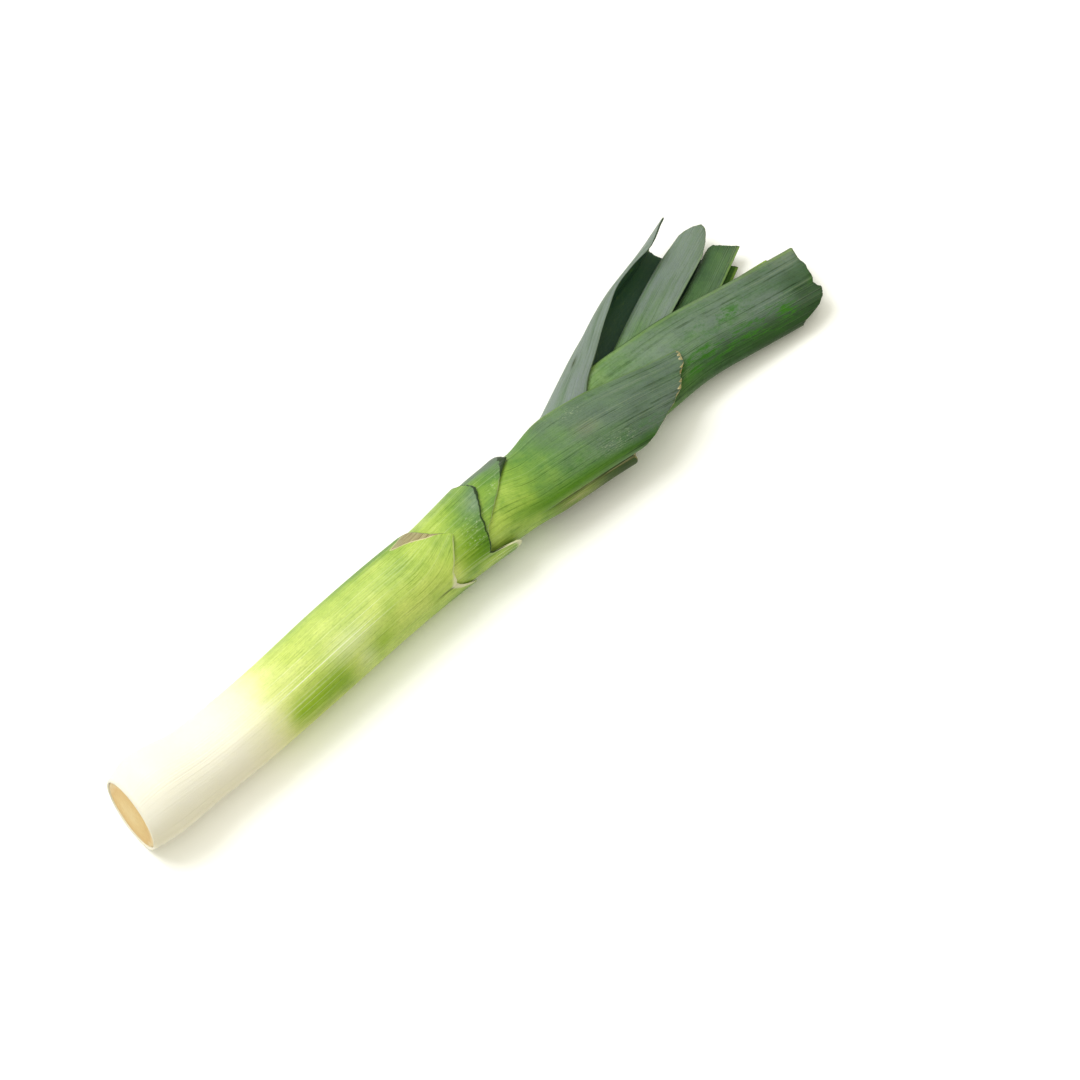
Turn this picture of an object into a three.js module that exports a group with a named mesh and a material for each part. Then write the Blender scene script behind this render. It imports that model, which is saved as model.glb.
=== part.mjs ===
// A leek, trimmed at the root end and at the leaf tips, lying on its side.
//
// Millimetres, +Z up, +X from the root end to the leaf tips; the leek lies on z = 0. Nine leaves and
// a rolled heart grow one inside the other from the basal plate, by turns from the left (+Y) and the
// right (-Y). Each leaf starts as a closed sheath, which together make the shank. Higher up a sheath
// opens at its throat and goes on as a blade, folded along its keel round all the younger leaves,
// and the blades spread in a flat fan to both sides.
import * as THREE from "three";

// ---- driving dimensions, mm and degrees ----
const COLUMNS = 18; // flat strips round a sheath; one of them lies on the table
const STRIP_HALF_ANGLE = 180 / COLUMNS;
const CUT_ROWS = 5; // rows of facets between the last station and a leaf's cut end
const STATIONS = [0, 10, 22, 38, 66, 100, 136, 155, 172, 188, 205, 221, 237, 253, 268];
const FOLD_ROW_STEP = 7; // length of a row of facets where a sheath opens
const BLADE_ROW_STEP = 17; // and on the blade above
const BUTT_RADIUS = 16.8;
// [from, to, rise] changes of the shank's radius, and its sideways bow
const BUTT_SWELL = [[-5, 12, 3.1], [14, 38, -2.1], [70, 120, 0.7], [165, 215, 1.5]];
const SHANK_BOW = [[0, 48, -1.8], [52, 162, 4.0], [170, 200, 0.5], [205, 255, -1.7]];
const ROOT_CUT_SLOPE = 0.06; // the root end is cut a little askew: mm along per mm across
const ROOT_CUT_LEAN = 0.09; // and mm along per mm up
const ROOT_CUT_FADE = 30; // how far along the shank the askew cut is felt
const LAYER_DEPTHS = [0, 1.3, 2.6, 3.9, 5.5, 7.1, 8.7, 10.3, 11.9, 13.5]; // each leaf under the outermost
const THIN_SHEATH = 1.0;
const THICK_SHEATH = 1.3;
const BLADE_THICKNESS = 0.9;
const BLADE_THINNING = [150, 260]; // where sheath thickness gives way to blade thickness
const FAN_LAYER_PITCH = 1.3; // height between one blade and the next in the flat fan
const FAN_FLATTENING = [185, 390];
const SIDE_SWELL = [[170, 262, 0.2]]; // the sheaths widen sideways under the fan
const FAN_DROOP = [[225, 450, -14.2]]; // the fan sinks to the table by its own weight
const PLATE_RECESS = 0.5;
const PLATE_THICKNESS = 4.8;
const PLATE_GAP = 0.3;
const HEART_STATIONS = [285, 302, 320, 338, 352, 364, 372];
const HEART_TAPER_START = 330;
const HEART_TAPER_LENGTH = 43;
const HEART_LEAN = [[275, 365, 8]];
const HEART_LEAST_HALF_HEIGHT = 0.6;

// One row a leaf, outermost first.
//   side       1: the keel is on the left; -1: on the right
//   near, far  the cut end: [angle from the keel, distance from the root end] of the upper and lower half
//   lastFull   the last station before the cut end
//   throat     where the sheath opens; fold: over what length, and to what angle, its margins part;
//              flatten: where the halves go flat; widen: where they reach the widths of upper, lower half
//   taper      [from, to, mm] the upper half's width changes
//   turns      [from, to, degrees] the keel turns outwards
//   lift       [from, to, degrees] the upper half is raised about the keel
const LEAVES = [
  {
    name: "leaf_1", side: 1, thickness: THIN_SHEATH, lastFull: 136,
    near: [[0, 160], [20, 167], [41, 173], [65, 176], [79, 178], [102, 185], [120, 180], [143, 175],
      [162, 174], [180, 179]],
    far: [[0, 160], [20, 160], [60, 168], [120, 184], [160, 186], [180, 179]],
  },
  {
    name: "leaf_2", side: -1, thickness: THIN_SHEATH, lastFull: 172,
    near: [[0, 212], [8, 210], [20, 195], [43, 198], [60, 199], [74, 201], [98, 206.5], [111, 209],
      [124, 208], [140, 205], [180, 204]],
    far: [[0, 212], [20, 210], [40, 205], [90, 198], [180, 204]],
  },
  {
    name: "leaf_3", side: 1, thickness: THIN_SHEATH, lastFull: 172,
    near: [[0, 224], [22, 228], [39, 230], [56, 231], [80, 220.5], [104, 210], [128, 200.5], [180, 190]],
    far: [[0, 224], [20, 224], [60, 220], [120, 204], [180, 190]],
  },
  {
    name: "leaf_4", side: -1, thickness: THICK_SHEATH, lastFull: 250,
    near: [[0, 281], [17, 281], [25, 287], [37, 293], [53, 299.5], [66, 304.5], [76, 310.5], [97, 317.5],
      [122, 323.5], [143, 329], [180, 330]],
    far: [[0, 281], [40, 276], [90, 280], [180, 290]],
    throat: 205, fold: [205, 234, 143], flatten: [233, 259], widen: [232, 259], widths: [36.8, 34],
    taper: [[270, 325, -3.3]],
    turns: [[225, 290, 7]],
  },
  {
    name: "leaf_5", side: 1, thickness: THICK_SHEATH, lastFull: 330,
    near: [[0, 381], [60, 382], [74, 385], [81, 391], [87, 396], [95, 395], [105, 391], [118, 387], [135, 382],
      [155, 376], [180, 370]],
    far: [[0, 381], [25, 381], [40, 381.5], [60, 382], [90, 383], [180, 388]],
    throat: 207, fold: [207, 240, 115], flatten: [236, 260], widen: [255, 293], widths: [14, 36],
    taper: [[326, 352, -4.2], [358, 380, 5]],
    turns: [[232, 268, 24.6], [289, 334, -9], [350, 375, 3.5]],
    lift: [285, 345, 40],
  },
  {
    name: "leaf_6", side: -1, thickness: THICK_SHEATH, lastFull: 340,
    near: [[0, 396], [20, 398], [40, 403], [60, 409], [80, 413], [110, 415], [140, 413.5], [160, 416.5],
      [180, 417.5]],
    far: [[0, 396], [10, 397], [22, 398], [60, 398], [180, 405]],
    throat: 228, fold: [228, 264, 115], flatten: [254, 278], widen: [266, 294], widths: [38.8, 31],
    taper: [[290, 350, -2.6]],
    turns: [[262, 300, -3.4], [322, 360, 11.4]],
  },
  {
    name: "leaf_7", side: 1, thickness: THICK_SHEATH, lastFull: 340,
    near: [[0, 372], [30, 380], [48, 388], [60, 397], [78, 401], [105, 405], [122, 406.5], [142, 405],
      [152, 402], [165, 397], [180, 389]],
    far: [[0, 372], [30, 380], [60, 390], [180, 394]],
    throat: 240, fold: [240, 277, 115], flatten: [266, 291], widen: [300, 350], widths: [18.4, 32],
    turns: [[265, 302, 25.5], [320, 370, -3.2]],
  },
  {
    name: "leaf_8", side: -1, thickness: THICK_SHEATH, lastFull: 345,
    near: [[0, 399], [90, 403], [180, 406]],
    far: [[0, 396], [90, 399], [180, 400]],
    throat: 255, fold: [255, 292, 115], flatten: [281, 304], widen: [296, 330], widths: [33.2, 25],
    turns: [[268, 306, -0.6], [335, 375, 6]],
  },
  {
    name: "leaf_9", side: 1, thickness: THICK_SHEATH, lastFull: 350,
    near: [[0, 394], [20, 398], [30, 400.5], [60, 402.7], [90, 403.3], [120, 404.3], [150, 405.3],
      [180, 406.7]],
    far: [[0, 394], [90, 395], [180, 397]],
    throat: 270, fold: [270, 307, 115], flatten: [294, 316], widen: [316, 356], widths: [14.7, 17.4],
    turns: [[285, 321, 18.4], [350, 390, 6.5]],
  },
];

// ---- small helpers ----
const radians = (degrees) => (degrees * Math.PI) / 180;
const clamp01 = (value) => Math.min(1, Math.max(0, value));

/** 0 before `from`, 1 after `to`, and a smooth step between. */
function ramp(value, from, to) {
  const t = clamp01((value - from) / (to - from));
  return t * t * (3 - 2 * t);
}

/** A start value with a smooth step of each [from, to, rise] added. */
function ramps(value, start, steps) {
  return steps.reduce((sum, [from, to, rise]) => sum + rise * ramp(value, from, to), start);
}

/** Straight lines through a list of [position, value]. */
function along(table, position) {
  const next = table.findIndex(([at]) => at >= position);
  if (next <= 0) return table[next === 0 ? 0 : table.length - 1][1];
  const [x0, y0] = table[next - 1];
  const [x1, y1] = table[next];
  return y0 + ((y1 - y0) * (position - x0)) / (x1 - x0);
}

// ---- the shank's lines, all by distance x from the root end ----
const shankRadius = (x) => ramps(x, BUTT_RADIUS, BUTT_SWELL);
const shankBow = (x) => ramps(x, 0, SHANK_BOW);
const fanFlatness = (x) => ramp(x, ...FAN_FLATTENING);
/** Height of the middle plane: the lowest strip of the shank lies flat on the table. */
const middleHeight = (x) => shankRadius(x) * Math.cos(radians(STRIP_HALF_ANGLE)) + ramps(x, 0, FAN_DROOP);
/** Half the width of layer `layer` while it is a closed sheath. */
const halfWidth = (layer, x) => (shankRadius(x) - LAYER_DEPTHS[layer]) * ramps(x, 1, SIDE_SWELL);

/** Half the height of layer `layer`: round in the shank, then ever flatter in the fan. */
function halfHeight(layer, x) {
  const flat = fanFlatness(x);
  const fanHeight = FAN_LAYER_PITCH * (LAYER_DEPTHS.length - layer);
  return (shankRadius(x) - LAYER_DEPTHS[layer]) * (1 - flat) + fanHeight * flat;
}

/** The root end's askew cut, which fades out along the shank. */
function skewed(x, y, z) {
  const askew = ROOT_CUT_SLOPE * y + ROOT_CUT_LEAN * (z - middleHeight(x));
  return [x + askew * (1 - ramp(x, 0, ROOT_CUT_FADE)), y, z];
}

/** Position and turn of a leaf's keel at distance s along it, in steps of 1 mm. */
function keelPath(turns) {
  const path = [{ forward: 0, outward: 0, turn: 0 }];
  for (let s = 1; s <= 460; s++) {
    const middle = radians(ramps(s - 0.5, 0, turns));
    const last = path[s - 1];
    path.push({
      forward: last.forward + Math.cos(middle),
      outward: last.outward + Math.sin(middle),
      turn: radians(ramps(s, 0, turns)),
    });
  }
  return (s) => {
    const i = Math.floor(s);
    const part = s - i;
    const mix = (key) => path[i][key] * (1 - part) + path[i + 1][key] * part;
    return { forward: mix("forward"), outward: mix("outward"), turn: mix("turn") };
  };
}

/**
 * The point of a leaf at distance s along its keel and at angle `angle` round it: 0 on the keel,
 * positive in the upper half, negative in the lower, and a half turn at the margins. `depth` is 0 on
 * the outer face and 1 on the inner one.
 */
function leafPoint(leaf, layer, keel, s, angle, depth) {
  const { forward, outward, turn } = keel(s);
  const upper = angle >= 0;
  const round = Math.abs(angle) / Math.PI;
  const width = halfWidth(layer, forward);
  const thickness = ramps(forward, leaf.thickness, [[...BLADE_THINNING, BLADE_THICKNESS - leaf.thickness]]);
  const inset = thickness * depth;
  let section = round * Math.PI;
  let inward;
  let flatness = 0;
  if (leaf.throat) {
    const [foldFrom, foldTo, foldAngle] = leaf.fold;
    const opened = Math.PI + (radians(foldAngle) - Math.PI) * ramp(s, foldFrom, foldTo);
    const full = width * (1 - Math.cos(opened));
    flatness = ramp(s, ...leaf.flatten);
    section = round * opened;
    const beyond = Math.max(0, (section - Math.PI / 2) / (opened - Math.PI / 2));
    const [upperWidth, lowerWidth] = leaf.widths;
    const blade = upper ? ramps(s, upperWidth, leaf.taper ?? []) : lowerWidth;
    const extra = (blade - full) * ramp(s, ...leaf.widen);
    // a wider blade is let out in its flat part, a narrower one is drawn in most at its margin
    const spread = extra < 0 ? ((1 - Math.cos(section)) / (1 - Math.cos(opened))) ** 1.5 : beyond;
    const outerInward = width * (1 - Math.cos(section)) + spread * extra;
    inward = inset + outerInward * (1 - inset * ((1 - flatness) / width + flatness / (full + extra)));
  } else {
    inward = inset + (width - inset) * (1 - Math.cos(section));
  }
  const past = Math.max(0, section - Math.PI / 2);
  const rise = past > 0 ? Math.cos((1 - flatness) * past) : Math.sin(section);
  let height = (halfHeight(layer, forward + Math.sin(turn) * inward) - inset) * rise;
  if (leaf.lift && upper) {
    const [from, to, degrees] = leaf.lift;
    const raise = radians(degrees) * ramp(s, from, to) * ramp(round, 0, 1 / 2.2);
    const across = inward * Math.cos(raise) - height * Math.sin(raise);
    height = inward * Math.sin(raise) + height * Math.cos(raise);
    inward = across;
  }
  const x = forward + Math.sin(turn) * inward;
  const y = shankBow(forward) + leaf.side * (width + outward - Math.cos(turn) * inward);
  const z = middleHeight(x) + (upper ? height : -height);
  return skewed(x, y, z);
}

/** Even distances from `from` up to, but not including, `to`, about `step` apart. */
function evenly(from, to, step) {
  const count = Math.max(1, Math.round((to - from) / step));
  return Array.from({ length: count }, (_, i) => from + ((to - from) * i) / count);
}

/** Distances of a leaf's full rows of facets, up to its last full station. */
function leafRows(leaf, layer) {
  const start = layer === 0 ? STATIONS[0] : PLATE_RECESS + PLATE_THICKNESS + PLATE_GAP;
  const limit = leaf.throat ? leaf.throat - 5 : leaf.lastFull - 8;
  const rows = [start, ...STATIONS.filter((x) => x > start && x < limit)];
  if (!leaf.throat) return [...rows, leaf.lastFull];
  const foldEnd = leaf.fold[1];
  return [
    ...rows,
    ...evenly(leaf.throat, foldEnd, FOLD_ROW_STEP),
    ...evenly(foldEnd, leaf.lastFull, BLADE_ROW_STEP),
    leaf.lastFull,
  ];
}

/** A leaf as one closed solid: a ring at its foot, an open blade above its throat. */
function leafSolid(leaf, layer) {
  const keel = keelPath(leaf.turns ?? []);
  const rows = leafRows(leaf, layer);
  const last = rows.length - 1 + CUT_ROWS;
  const throatRow = leaf.throat ? rows.indexOf(leaf.throat) : last;
  const positions = [];
  const grid = [0, 1].map((depth) => {
    const face = [];
    for (let j = 0; j <= last; j++) {
      const row = [];
      for (let k = 0; k <= COLUMNS; k++) {
        if (k === COLUMNS && j <= throatRow) {
          row.push(row[0]);
          continue;
        }
        const angle = (-1 + (2 * k) / COLUMNS) * Math.PI;
        const degrees = Math.abs(-180 + (360 * k) / COLUMNS);
        const end = along(angle >= 0 ? leaf.near : leaf.far, degrees);
        const cut = (j - rows.length + 1) / CUT_ROWS;
        const s = cut > 0 ? leaf.lastFull + (end - leaf.lastFull) * cut : rows[j];
        row.push(positions.length);
        positions.push(leafPoint(leaf, layer, keel, s, angle, depth));
      }
      face.push(row);
    }
    return face;
  });
  const [outer, inner] = grid;
  const faces = [];
  const quad = (a, b, c, d) => {
    const ring = leaf.side < 0 ? [a, b, c, d] : [d, c, b, a];
    faces.push([ring[0], ring[1], ring[2]], [ring[0], ring[2], ring[3]]);
  };
  for (let k = 0; k < COLUMNS; k++) {
    for (let j = 0; j < last; j++) {
      quad(outer[j][k], outer[j + 1][k], outer[j + 1][k + 1], outer[j][k + 1]);
      quad(inner[j][k + 1], inner[j + 1][k + 1], inner[j + 1][k], inner[j][k]);
    }
    quad(outer[0][k + 1], inner[0][k + 1], inner[0][k], outer[0][k]);
    quad(outer[last][k], inner[last][k], inner[last][k + 1], outer[last][k + 1]);
  }
  for (let j = throatRow; j < last; j++) {
    quad(outer[j][0], inner[j][0], inner[j + 1][0], outer[j + 1][0]);
    quad(outer[j + 1][COLUMNS], inner[j + 1][COLUMNS], inner[j][COLUMNS], outer[j][COLUMNS]);
  }
  return geometryOf(positions, faces);
}

/** Rings of points joined into a closed solid, with a fan of facets over each end. */
function ringSolid(rings, endCentres) {
  const positions = rings.flat();
  const count = rings[0].length;
  const faces = [];
  for (let j = 0; j + 1 < rings.length; j++) {
    for (let k = 0; k < count; k++) {
      const next = (k + 1) % count;
      const [a, b] = [j * count + k, j * count + next];
      faces.push([a, b, b + count], [a, b + count, a + count]);
    }
  }
  const [foot, tip] = [positions.length, positions.length + 1];
  positions.push(...endCentres);
  const top = (rings.length - 1) * count;
  for (let k = 0; k < count; k++) {
    const next = (k + 1) % count;
    faces.push([foot, next, k], [tip, top + k, top + next]);
  }
  return geometryOf(positions, faces);
}

/** An oval ring round the leek's axis at distance x. */
function ovalRing(x, centre, width, height) {
  return Array.from({ length: COLUMNS }, (_, k) => {
    const angle = radians(-180 + (360 * k) / COLUMNS);
    return skewed(x, centre + width * Math.cos(angle), middleHeight(x) + height * Math.sin(angle));
  });
}

/** The youngest leaf, still rolled tight, which tapers to a blunt tip among the blades. */
function heartSolid() {
  const layer = LAYER_DEPTHS.length - 1;
  const foot = PLATE_RECESS + PLATE_THICKNESS + PLATE_GAP;
  const stations = [foot, ...STATIONS.slice(1), ...HEART_STATIONS];
  const centreOf = (x) => shankBow(x) + ramps(x, 0, HEART_LEAN);
  const rings = stations.map((x) => {
    const tapered = Math.max(0, x - HEART_TAPER_START) / HEART_TAPER_LENGTH;
    const size = Math.sqrt(Math.max(0.02, 1 - tapered * tapered));
    const height = Math.max(HEART_LEAST_HALF_HEIGHT, halfHeight(layer, x) * size);
    return ovalRing(x, centreOf(x), halfWidth(layer, x) * size, height);
  });
  const ends = [stations[0], stations.at(-1)].map((x) => skewed(x, centreOf(x), middleHeight(x)));
  return ringSolid(rings, ends);
}

/** The disc of hard stem that all leaves grow from, cut through where the roots were. */
function basalPlateSolid() {
  const ends = [PLATE_RECESS, PLATE_RECESS + PLATE_THICKNESS];
  const rings = ends.map((x) => ovalRing(x, shankBow(x), halfWidth(1, x), halfHeight(1, x)));
  return ringSolid(rings, ends.map((x) => skewed(x, shankBow(x), middleHeight(x))));
}

function geometryOf(positions, faces) {
  const geometry = new THREE.BufferGeometry();
  geometry.setAttribute("position", new THREE.Float32BufferAttribute(positions.flat(), 3));
  geometry.setIndex(faces.flat());
  geometry.computeVertexNormals();
  return geometry;
}

function piece(name, geometry, material) {
  const mesh = new THREE.Mesh(geometry, material);
  mesh.name = name;
  return mesh;
}

// ---- materials ----
function plain(name, colour, roughness) {
  const material = new THREE.MeshStandardMaterial({ color: colour, roughness, flatShading: true });
  material.name = name;
  return material;
}
const sheathMaterial = plain("sheath", 0xdfe6b4, 0.45);
const bladeMaterial = plain("blade", 0x4c6b48, 0.5);
const heartMaterial = plain("heart", 0xb9c878, 0.5);
const plateMaterial = plain("basal_plate", 0xe3c98c, 0.7);

// ---- the leek ----
const leek = new THREE.Group();
leek.name = "leek";
leek.add(piece("basal_plate", basalPlateSolid(), plateMaterial));
LEAVES.forEach((leaf, layer) => {
  leek.add(piece(leaf.name, leafSolid(leaf, layer), leaf.throat ? bladeMaterial : sheathMaterial));
});
leek.add(piece("heart_leaf", heartSolid(), heartMaterial));

// The origin is at the bottom, in the middle of the leek's length and width.
const bounds = new THREE.Box3().setFromObject(leek);
const middle = bounds.getCenter(new THREE.Vector3());
leek.children.forEach((mesh) => mesh.geometry.translate(-middle.x, -middle.y, 0));

export default leek;
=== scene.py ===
import bpy
import numpy as np
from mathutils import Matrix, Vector


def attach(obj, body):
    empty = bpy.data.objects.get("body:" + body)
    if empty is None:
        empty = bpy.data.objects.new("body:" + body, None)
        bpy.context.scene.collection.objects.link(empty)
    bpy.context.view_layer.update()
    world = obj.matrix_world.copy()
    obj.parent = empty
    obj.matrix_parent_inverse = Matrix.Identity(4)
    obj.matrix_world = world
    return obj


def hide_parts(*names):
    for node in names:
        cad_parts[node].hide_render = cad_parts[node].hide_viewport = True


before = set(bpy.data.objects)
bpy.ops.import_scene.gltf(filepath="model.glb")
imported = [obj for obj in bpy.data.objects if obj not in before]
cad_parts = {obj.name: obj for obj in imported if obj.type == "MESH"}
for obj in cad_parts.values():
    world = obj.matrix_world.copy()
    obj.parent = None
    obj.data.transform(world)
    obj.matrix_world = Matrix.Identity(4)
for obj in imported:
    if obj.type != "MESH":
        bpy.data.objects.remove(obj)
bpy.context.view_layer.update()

# A trimmed leek lying on a pale table. Shapes are worked out in millimetres from the root end, as in
# the part's source, and then moved to the frame's origin. Colours are sRGB hex.

# ---- the leek's lines, mm and degrees ----
FRAME_ORIGIN = [209.95493, 22.81859, 0.0]
METRES = 0.001
BUTT_RADIUS = 16.8
BUTT_SWELL = [(-5, 12, 3.1), (14, 38, -2.1), (70, 120, 0.7), (165, 215, 1.5)]
SHANK_BOW = [(0, 48, -1.8), (52, 162, 4.0), (170, 200, 0.5), (205, 255, -1.7)]
ROOT_CUT_SLOPE = 0.06
ROOT_CUT_LEAN = 0.09
ROOT_CUT_FADE = 30
LAYER_DEPTHS = [0, 1.3, 2.6, 3.9, 5.5, 7.1, 8.7, 10.3, 11.9, 13.5]
THIN_SHEATH = 1.0
THICK_SHEATH = 1.3
BLADE_THICKNESS = 0.9
BLADE_THINNING = (150, 260)
FAN_LAYER_PITCH = 1.3
FAN_FLATTENING = (185, 390)
SIDE_SWELL = [(170, 262, 0.2)]
FAN_DROOP = [(225, 450, -14.2)]
FLAT_STRIP_HALF_ANGLE = np.radians(10)
PLATE_FACES = (0.5, 5.3)
LEAF_FOOT = 5.6
HEART_TIP = 372
HEART_BEND = [(275, 365, 8)]
HEART_TAPER = (330, 42.1)
DRAWN_IN_POWER = 1.5
LIFT_FULL_SHARE = 1 / 2.2
KEEL_LENGTH = 460

# ---- how finely the leaves are drawn, mm unless said ----
SHOWN_ROW = 1.6
HIDDEN_ROW = 6
FOOT_ROW = 1.5
FOOT_ROWS_END = 36
LAST_ROW_BEFORE_END = 0.45
HALF_TURN_COLUMNS = 48
MARGIN_COLUMN_SHARE = 0.985
FINER_COLUMN_DEGREES = 0.9
FINE_TEETH = 240
FINE_TO_COARSE_TEETH = 8
CUT_ROUNDING_SHARE = 0.28
CUT_LINE_OUT = 0.2
MARGIN_ROUNDING_SHARE = 0.36
MARGIN_ROUNDING_REACH = 4
MARGIN_LINE_OUT_SHARE = 0.008
MARGINS_FREE_AFTER = 12
EDGE_REACH = 20
HALF_TURN_ACROSS = 53

# One row a leaf, outermost first. The shape has the same numbers as the part's source:
#   side          the side of the leek that the keel lies on
#   near, far     (angle from the keel, distance of the cut end), upper and lower half
#   throat        where the margins part
#   fold          from, to, and the half angle that the section opens to
#   flatten       where the two halves go flat
#   widen, widths where the halves take their widths, and the upper and lower width there
#   taper, turns  (start, end, change) of the upper width, and of the keel's heading
#   lift          from, to, and the angle that the upper half is raised by
# The rest is for the looks:
#   last_full     the last distance with points all the way round
#   shows         the distance from which the leaf is in view
#   finer         the angles between which points are closer
#   tint          (distance, place on the scale from white to dark green)
#   bloom, rim    strength of the wax, and of the light line along the margins
#   teeth         height of the fine and the coarse teeth of the cut end
LEAVES = [
    dict(
        name="leaf_1", side=1, thickness=THIN_SHEATH, last_full=136, shows=0, finer=(156, 170),
        near=[(0, 160), (20, 167), (41, 173), (65, 176), (79, 178), (102, 185), (120, 180), (143, 175),
              (162, 174), (180, 179)],
        far=[(0, 160), (20, 160), (60, 168), (120, 184), (160, 186), (180, 179)],
        tint=[(0, 0.0), (50, 0.02), (64, 0.12), (80, 0.30), (98, 0.41), (125, 0.45), (150, 0.48),
              (185, 0.52)],
        teeth=(0.15, 0.4),
    ),
    dict(
        name="leaf_2", side=-1, thickness=THIN_SHEATH, last_full=172, shows=150,
        near=[(0, 212), (8, 210), (20, 195), (43, 198), (60, 199), (74, 201), (98, 206.5), (111, 209),
              (124, 208), (140, 205), (180, 204)],
        far=[(0, 212), (20, 210), (40, 205), (90, 198), (180, 204)],
        tint=[(150, 0.44), (180, 0.52), (192, 0.60), (200, 0.68), (210, 0.74)],
        teeth=(0.35, 0.5),
    ),
    dict(
        name="leaf_3", side=1, thickness=THIN_SHEATH, last_full=172, shows=180, finer=(44, 64),
        near=[(0, 224), (22, 228), (39, 230), (56, 231), (80, 220.5), (104, 210), (128, 200.5), (180, 190)],
        far=[(0, 224), (20, 224), (60, 220), (120, 204), (180, 190)],
        tint=[(180, 0.60), (205, 0.66), (230, 0.80)],
        bloom=0.3, teeth=(0.2, 0.3),
    ),
    dict(
        name="leaf_4", side=-1, thickness=THICK_SHEATH, last_full=250, shows=180, finer=(8, 26),
        near=[(0, 281), (17, 281), (25, 287), (37, 293), (53, 299.5), (66, 304.5), (76, 310.5),
              (97, 317.5), (122, 323.5), (143, 329), (180, 330)],
        far=[(0, 281), (40, 276), (90, 280), (180, 290)],
        throat=205, fold=(205, 234, 143), flatten=(233, 259), widen=(232, 259), widths=(36.8, 34),
        taper=[(270, 325, -3.3)], turns=[(225, 290, 7)],
        tint=[(190, 0.53), (212, 0.58), (232, 0.66), (250, 0.77), (275, 0.88), (331, 0.95)],
        bloom=0.36, teeth=(0.3, 0.9),
    ),
    dict(
        name="leaf_5", side=1, thickness=THICK_SHEATH, last_full=330, shows=200, finer=(68, 94),
        near=[(0, 381), (60, 382), (74, 385), (81, 391), (87, 396), (95, 395), (105, 391), (118, 387),
              (135, 382), (155, 376), (180, 370)],
        far=[(0, 381), (25, 381), (40, 381.5), (60, 382), (90, 383), (180, 388)],
        throat=207, fold=(207, 240, 115), flatten=(236, 260), widen=(255, 293), widths=(14, 36),
        taper=[(326, 352, -4.2), (358, 380, 5)],
        turns=[(232, 268, 24.6), (289, 334, -9), (350, 375, 3.5)], lift=(285, 345, 40),
        tint=[(200, 0.52), (240, 0.70), (262, 0.82), (285, 0.93), (390, 0.96)],
        bloom=0.85, rim=0.0, teeth=(0.15, 0.5),
    ),
    dict(
        name="leaf_6", side=-1, thickness=THICK_SHEATH, last_full=340, shows=215,
        near=[(0, 396), (20, 398), (40, 403), (60, 409), (80, 413), (110, 415), (140, 413.5),
              (160, 416.5), (180, 417.5)],
        far=[(0, 396), (10, 397), (22, 398), (60, 398), (180, 405)],
        throat=228, fold=(228, 264, 115), flatten=(254, 278), widen=(266, 294), widths=(38.8, 31),
        taper=[(290, 350, -2.6)], turns=[(262, 300, -3.4), (322, 360, 11.4)],
        tint=[(220, 0.50), (270, 0.68), (300, 0.76), (340, 0.86), (380, 0.93), (418, 0.97)],
        bloom=0.45, teeth=(0.25, 0.9),
    ),
    dict(
        name="leaf_7", side=1, thickness=THICK_SHEATH, last_full=340, shows=230,
        near=[(0, 372), (30, 380), (48, 388), (60, 397), (78, 401), (105, 405), (122, 406.5),
              (142, 405), (152, 402), (165, 397), (180, 389)],
        far=[(0, 372), (30, 380), (60, 390), (180, 394)],
        throat=240, fold=(240, 277, 115), flatten=(266, 291), widen=(300, 350), widths=(18.4, 32),
        turns=[(265, 302, 25.5), (320, 370, -3.2)],
        tint=[(230, 0.48), (275, 0.62), (310, 0.72), (350, 0.82), (400, 0.88)],
        bloom=0.75, teeth=(0.15, 0.5),
    ),
    dict(
        name="leaf_8", side=-1, thickness=THICK_SHEATH, last_full=345, shows=245,
        near=[(0, 399), (90, 403), (180, 406)],
        far=[(0, 396), (90, 399), (180, 400)],
        throat=255, fold=(255, 292, 115), flatten=(281, 304), widen=(296, 330), widths=(33.2, 25),
        turns=[(268, 306, -0.6), (335, 375, 6)],
        tint=[(245, 0.46), (300, 0.60), (350, 0.70), (400, 0.74)],
        bloom=0.1, rim=0.7, teeth=(0.15, 0.5),
    ),
    dict(
        name="leaf_9", side=1, thickness=THICK_SHEATH, last_full=350, shows=260,
        near=[(0, 394), (20, 398), (30, 400.5), (60, 402.7), (90, 403.3), (120, 404.3), (150, 405.3),
              (180, 406.7)],
        far=[(0, 394), (90, 395), (180, 397)],
        throat=270, fold=(270, 307, 115), flatten=(294, 316), widen=(316, 356), widths=(14.7, 17.4),
        turns=[(285, 321, 18.4), (350, 390, 6.5)],
        tint=[(260, 0.50), (310, 0.66), (350, 0.86), (380, 0.93), (405, 0.90)],
        bloom=0.2, rim=0.35, teeth=(0.12, 0.3),
    ),
]


# ---- curves ----
def ramp(value, start, end):
    """0 before start, 1 after end, and a smooth step between."""
    t = np.clip((value - start) / (end - start), 0, 1)
    return t * t * (3 - 2 * t)


def fall(value, start, end):
    """1 before start, 0 after end, and a smooth step between."""
    return 1 - ramp(value, start, end)


def band(value, start, full, fade, end):
    """Rises from start to full, stays at 1, and falls from fade to end."""
    return ramp(value, start, full) * fall(value, fade, end)


def bump(value, centre, spread):
    """A smooth bell of height 1."""
    return np.exp(-(((value - centre) / spread) ** 2))


def ramps(value, first, steps):
    """A first value with a smooth step of each (start, end, rise) added."""
    level = first + np.zeros(np.shape(value))
    return sum((rise * ramp(value, start, end) for start, end, rise in steps), level)


def table(rows, value):
    """Straight lines through rows of (position, value)."""
    at, height = np.array(rows, float).T
    return np.interp(value, at, height)


def side_table(near, far, degrees):
    """A table by angle from the keel for the upper half, and another for the lower."""
    return np.where(degrees >= 0, table(near, np.abs(degrees)), table(far, np.abs(degrees)))


def even_rows(start, end, step):
    return np.linspace(start, end, max(2, int(round((end - start) / step)) + 1))


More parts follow.
